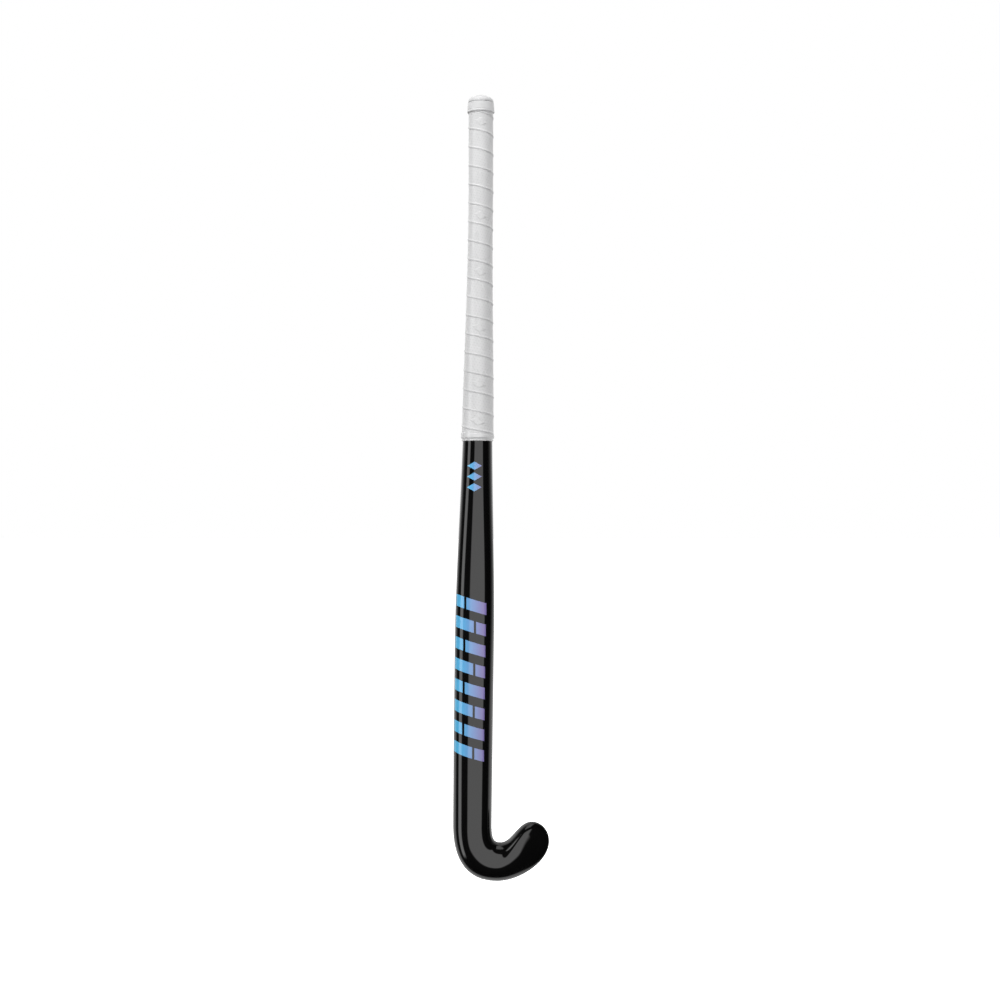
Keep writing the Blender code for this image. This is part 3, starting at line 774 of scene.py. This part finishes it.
def make_top_collar(finish):
    """Elastic band: rolled edge under the cap, barrel over the tape's start, and a lip at its lower end."""
    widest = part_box("top_collar")[1][0]
    over_skirt = HANDLE_HALF_WIDTH + GAP + CAP_SKIRT_WALL + GAP
    over_grip = widest - COLLAR_WALL
    top, bottom = COLLAR_TOP - COLLAR_FOLD, COLLAR_BOTTOM
    lip = bottom + COLLAR_LIP
    profile = arc((over_skirt + 0.0003, top - 0.0005), (0.0003, 0.0005), 180.0, 20.0, 7)
    for t in spread(0.0, 1.0, 22):
        swell = mix(math.sin(t * math.pi / 2), t, 0.35)
        radius = mix(over_skirt + 0.0006, widest - 0.0001, swell)
        profile.append((radius, mix(top - 0.0006, lip + 0.0004, t)))
    profile += [(widest - 0.0002, lip + 0.0001), (widest - 0.0003, lip - 0.0002)]
    profile += arc((widest - 0.0007, bottom + 0.0010), (0.0008, 0.0010), 50.0, -90.0, 10)
    # the inside steps in from the cap's skirt to the grip
    step = (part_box("end_cap")[0][2] + GRIP_TOP) / 2
    profile += [(over_grip, bottom), (over_grip, step)]
    profile += [(over_skirt, step + 0.001), (over_skirt, top - 0.0006)]
    return revolve("elastic_top_collar", profile, finish, ["top_collar"])


def band_profile(top):
    """The finishing tape's closed outline as (z, distance outside the shell), from its upper edge down."""
    over = TAPE_BASE + TAPE_THICKNESS + 0.0002
    outer = over + 0.00012
    outermost = outer + BAND_THICKNESS
    end = GRIP_BOTTOM - GAP
    slope_start = end + 0.0012
    foot = BAND_BOTTOM + BAND_FOOT
    lip = BAND_BOTTOM + BAND_LIP
    profile = [(top, over), (top - 0.00002, outer)]
    profile += [(top - 0.0010 * t, outer + BAND_THICKNESS * ease(t, 0.0, 1.0)) for t in spread(0.2, 1.0, 4)]
    profile += [(z, outermost) for z in spread(top - 0.0018, slope_start, 5)]
    for t in spread(0.0, 1.0, 10)[1:]:
        profile.append((mix(slope_start, foot, t), mix(outermost, 0.00085, ease(t, 0.0, 1.0))))
    # the narrow lip below the slope, down to the band's lower end
    profile += [(foot - 0.0002, 0.00075), (lip + 0.0003, 0.00080), (lip + 0.0001, 0.00090)]
    profile += [(lip - 0.0001, 0.00105), (lip - 0.0004, 0.00125), (lip - 0.0008, 0.00120)]
    profile += [(BAND_BOTTOM + 0.0002, 0.0009), (BAND_BOTTOM, 0.0005), (BAND_BOTTOM, 0.0001)]
    # the inside, first on the shell and then over the grip tape's end
    profile += [(end - 0.0002, 0.0001), (end, over - 0.0004), (end + 0.0005, over)]
    return profile


def make_finishing_tape(finish):
    """The thin band over the grip tape's lower end, wrapped at a slant, with a narrow lip below it."""
    points = []
    for angle in ring_angles():
        # the upper edge drops from the heel side to the toe side, like the laps above it
        profile = band_profile(BAND_TOP - BAND_UPPER_EDGE - BAND_SLANT * math.cos(angle))
        points += [section_point(shaft_station(height_of(z)), angle, -out) for z, out in profile]
    size = len(profile)
    faces = []
    for k in range(RING):
        a, b = k * size, ((k + 1) % RING) * size
        faces += [(a + i, b + i, b + (i + 1) % size, a + (i + 1) % size) for i in range(size)]
    band = build("wrapped_finishing_tape", points, faces, finish, ["finishing_tape"])
    return merge_and_orient(band)


def print_patch(points, faces, start, end, low_line, high_line):
    """One printed bar: side from start to end, its lower and upper edge given as lines of height."""
    columns = max(4, math.ceil(abs(end - start) / PRINT_STEP))
    rows = 6
    base = len(points)
    for side in spread(start, end, columns):
        for t in spread(0.0, 1.0, rows):
            height = mix(low_line(side), high_line(side), t)
            angle = back_angle(side, height)
            points.append(section_point(shaft_station(height), angle, -PRINT_LIFT))
    stride = rows + 1
    for i in range(columns):
        for j in range(rows):
            a = base + i * stride + j
            faces.append((a, a + 1, a + stride + 1, a + stride))


def slanted(middle, slope, half, origin):
    """The two edges of a bar that falls towards the toe side."""
    return (
        lambda side: middle - slope * (side - origin) - half,
        lambda side: middle - slope * (side - origin) + half,
    )


def lozenge(points, faces, middle, half, height):
    """One printed lozenge around a side position and height, as two halves that meet in the middle."""
    edges = (
        lambda side: height - half[1] * (1.0 - abs(side - middle) / half[0]),
        lambda side: height + half[1] * (1.0 - abs(side - middle) / half[0]),
    )
    print_patch(points, faces, middle - half[0], middle, *edges)
    print_patch(points, faces, middle, middle + half[0], *edges)


def make_prints(finish_large, finish_small):
    """Slanted blocks and lozenges in place of the real stick's lettering."""
    points, faces = [], []
    for row in range(PRINT_ROWS):
        height = PRINT_FIRST_ROW - PRINT_ROW_PITCH * row
        heel = centre_side(height) - half_width(height) * PRINT_HEEL_SHARE
        split = heel + PRINT_SPLITS[row % 2]
        edges = slanted(height, PRINT_SLANT, PRINT_ROW_HALF, heel)
        print_patch(points, faces, heel, split - PRINT_SPLIT_HALF, *edges)
        print_patch(points, faces, split + PRINT_SPLIT_HALF, heel + PRINT_ACROSS, *edges)
    build("large_print", points, faces, finish_large, ["graphic_film_large"])
    points, faces = [], []
    for row in range(LOZENGE_COUNT):
        height = LOZENGE_FIRST - LOZENGE_PITCH * row
        middle = centre_side(height) - half_width(height) * LOZENGE_SIDE_SHARE
        lozenge(points, faces, middle, LOZENGE_HALF, height)
    build("small_print", points, faces, finish_small, ["graphic_film_small"])


# ---------------------------------------------------------------- studio
def panel(name, azimuth, elevation, distance, size, radiance, target):
    """A soft rectangular light. Azimuth 0 is in front of the stick's back, 90 on its toe side."""
    light = bpy.data.lights.new(name, "AREA")
    light.shape = "RECTANGLE"
    light.size, light.size_y = size
    light.energy = radiance * math.pi * size[0] * size[1]
    lamp = bpy.data.objects.new(name, light)
    a, e = math.radians(azimuth), math.radians(elevation)
    away = Vector((math.sin(a) * math.cos(e), -math.cos(a) * math.cos(e), math.sin(e)))
    lamp.location = target + away * distance
    lamp.rotation_mode = "QUATERNION"
    lamp.rotation_quaternion = (-away).to_track_quat("-Z", "Y")
    lamp.visible_camera = False
    bpy.context.scene.collection.objects.link(lamp)
    return lamp


def soften(lamp, side_fade, end_fade):
    """Fade a panel's light towards its sides and its ends, over these shares of its size."""
    lamp.data.use_nodes = True
    light = Nodes(lamp.data.node_tree)
    spot = light.node("ShaderNodeNewGeometry").outputs["Parametric"]
    parts = light.node("ShaderNodeSeparateXYZ", {0: spot}).outputs
    fades = []
    for axis, fade in (("X", side_fade), ("Y", end_fade)):
        off_middle = light.maths("ABSOLUTE", light.maths("SUBTRACT", parts[axis], 0.5))
        fades.append(light.remap(off_middle, 0.5 - fade, 0.5, 1.0, 0.0, smooth=True))
    strength = light.tree.nodes["Emission"].inputs["Strength"]
    light.tree.links.new(light.maths("MULTIPLY", *fades), strength)


def make_world():
    """White for the camera, soft grey as fill light, and a white backdrop behind the stick in its gloss."""
    world = bpy.data.worlds.new("studio")
    world.use_nodes = True
    bpy.context.scene.world = world
    sky = Nodes(world.node_tree)
    sky.tree.nodes.clear()
    rays = sky.node("ShaderNodeLightPath").outputs
    direction = sky.node("ShaderNodeTexCoord").outputs["Generated"]
    parts = sky.node("ShaderNodeSeparateXYZ", {0: direction}).outputs
    azimuth = sky.maths("ARCTAN2", parts["X"], sky.maths("MULTIPLY", parts["Y"], -1.0))
    # the backdrop's edges are crisp low down and fade in slowly at the height of the camera
    right_full = sky.remap(parts["Z"], *BACKDROP_HEIGHTS, *BACKDROP_RIGHT_FULL)
    left_full = sky.remap(parts["Z"], *BACKDROP_HEIGHTS, *BACKDROP_LEFT_FULL)
    right = sky.remap(azimuth, BACKDROP_RIGHT, right_full, 0.0, 1.0, smooth=True)
    left = sky.remap(azimuth, BACKDROP_LEFT, left_full, 0.0, 1.0, smooth=True)
    both = sky.maths("MAXIMUM", right, left)
    # straight behind, where only the flat face looks, it is darker and fades downwards
    level = sky.remap(parts["Z"], *BEHIND_HEIGHTS, *BEHIND_SHARES)
    turned = sky.remap(sky.maths("ABSOLUTE", azimuth), *BEHIND_TURN, 0.0, 1.0, smooth=True)
    upright = sky.remap(parts["Z"], *BEHIND_FOOT, 0.0, 1.0, smooth=True)
    share = sky.remap(sky.maths("MULTIPLY", turned, upright), 0.0, 1.0, 1.0, level)

    def background(colour, strength):
        return sky.node("ShaderNodeBackground", {"Color": colour, "Strength": strength}).outputs[0]

    def switch(ray, otherwise, seen):
        return sky.node("ShaderNodeMixShader", {0: rays[ray], 1: otherwise, 2: seen}).outputs[0]

    gloss = background(sky.maths("MULTIPLY", both, share), BACKDROP_GLOSS)
    lit = switch("Is Glossy Ray", background(grey(1.0), FILL), gloss)
    seen = switch("Is Camera Ray", lit, background(grey(1.0), 1.0))
    sky.node("ShaderNodeOutputWorld", {"Surface": seen})


def make_floor():
    """A plain pale floor below the hanging stick; only the camera sees it."""
    finish = Finish("pale_floor", Base_Color=grey(0.9), Roughness=0.9)
    finish.shader.inputs["Emission Color"].default_value = grey(1.0)
    finish.shader.inputs["Emission Strength"].default_value = 1.0
    tone = finish.noise(finish.coordinates(), 3.0)
    finish.feed("Base Color", finish.ramp(tone, [(0.0, (0.90,) * 3), (1.0, (0.94,) * 3)]))
    mesh = bpy.data.meshes.new("studio_floor")
    reach, level = FLOOR_REACH, BASE_Z - FLOOR_DROP
    corners = [(-reach, -reach), (reach, -reach), (reach, reach), (-reach, reach)]
    mesh.from_pydata([(x, y, level) for x, y in corners], [], [(0, 1, 2, 3)])
    mesh.materials.append(finish.material)
    floor = bpy.data.objects.new("studio_floor", mesh)
    bpy.context.scene.collection.objects.link(floor)
    floor.visible_glossy = False
    floor.visible_diffuse = False
    floor.visible_shadow = False


def make_lights():
    softbox = panel("front_softbox", 11.0, 0.0, 2.4, (3.15, 3.20), 1.92, LOW_TARGET)
    soften(softbox, 0.10, 0.08)
    strip = panel("heel_strip", -64.0, 0.0, 2.2, (1.08, 3.7), 2.8, LOW_TARGET)
    soften(strip, 0.25, 0.12)
    panel("overhead_softbox", -10.0, 72.0, 2.2, (2.4, 1.5), 1.5, LIGHT_TARGET)
    # these shape the matt grip but leave the lacquer's reflections alone
    for hidden in (
        panel("overhead_key", -25.0, 58.0, 2.4, (0.8, 0.8), 24.0, LIGHT_TARGET),
        panel("toe_side_fill", 112.0, 5.0, 2.4, (1.6, 2.2), 2.2, LIGHT_TARGET),
        panel("rear_fill", 180.0, 25.0, 2.4, (2.0, 2.4), 1.7, LIGHT_TARGET),
    ):
        hidden.visible_glossy = False


def make_camera():
    data = bpy.data.cameras.new("camera")
    data.lens = CAMERA_LENS
    data.sensor_width = CAMERA_SENSOR
    camera = bpy.data.objects.new("camera", data)
    camera.location = CAMERA_SPOT
    camera.rotation_euler = (math.pi / 2, 0.0, 0.0)
    bpy.context.scene.collection.objects.link(camera)
    bpy.context.scene.camera = camera


def finish_inner_nodes():
    """Better materials on the CAD nodes that stay as they are."""
    laminate = laminate_finish()
    handle_foam = foam_finish("handle_damping_foam", (0.85, 0.80, 0.62), (0.70, 0.64, 0.47), 0.0011)
    finishes = {
        "rib_tube_heel": laminate,
        "rib_tube_toe": laminate,
        "handle_foam_heel": handle_foam,
        "handle_foam_toe": handle_foam,
        "head_core": foam_finish("head_rigid_foam", (0.78, 0.70, 0.50), (0.64, 0.56, 0.38), 0.0007),
        "butt_plug": plastic_finish("plug_plastic_grain", (0.08, 0.08, 0.09), (0.12, 0.12, 0.13)),
        "balance_weight": steel_finish(),
        "cushion_underwrap": underwrap_finish(),
    }
    for name, finish in finishes.items():
        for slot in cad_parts[name].material_slots:
            slot.material = finish


def main():
    bpy.context.scene.view_settings.view_transform = "Standard"
    make_shell(lacquer_finish())
    tape, length = make_grip_tape(grip_finish())
    band = band_finish()
    make_top_collar(band)
    make_finishing_tape(band)
    make_end_cap(cap_finish())
    make_prints(print_finish(*LARGE_PRINT_SIDES), print_finish(*SMALL_PRINT_SIDES))
    finish_inner_nodes()
    make_world()
    make_floor()
    make_lights()
    make_camera()


main()
